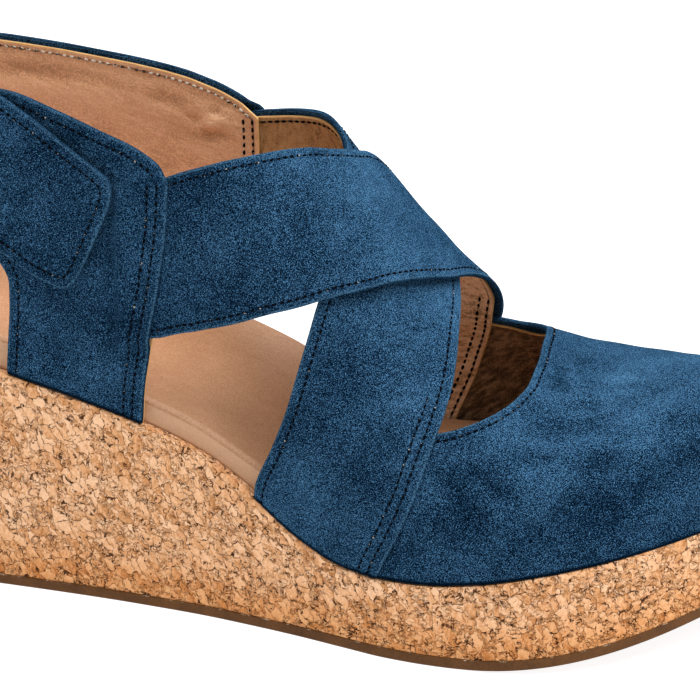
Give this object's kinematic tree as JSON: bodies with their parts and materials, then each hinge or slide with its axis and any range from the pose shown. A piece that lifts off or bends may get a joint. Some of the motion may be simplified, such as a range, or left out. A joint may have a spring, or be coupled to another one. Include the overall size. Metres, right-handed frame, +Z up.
{
  "type": "wedge shoe",
  "caption": "Woman's right wedge shoe with a closed toe, crossed instep straps, open sides and a heel strap that fastens with a hook-and-loop tab, on a cork wedge sole.",
  "frame": {"origin": "on the floor under the middle of the wedge's flat underside, 80 mm ahead of the back of the heel", "axes": "+X from heel to toe, +Y to the inner side of the foot, +Z up"},
  "size_m": [0.235, 0.0917, 0.1207],
  "materials": {
    "outsole_rubber": "matt dark brown rubber",
    "cork": "granulated cork, matt",
    "insole_leather": "smooth matt tan leather",
    "suede": "napped navy suede",
    "lining": "smooth tan lining leather",
    "thread": "sewing thread"
  },
  "bodies": {
    "root": {"outsole": "outsole_rubber", "cork_wedge": "cork", "insole": "insole_leather", "upper": "suede", "heel_strap": "suede"}
  },
  "joints": []
}
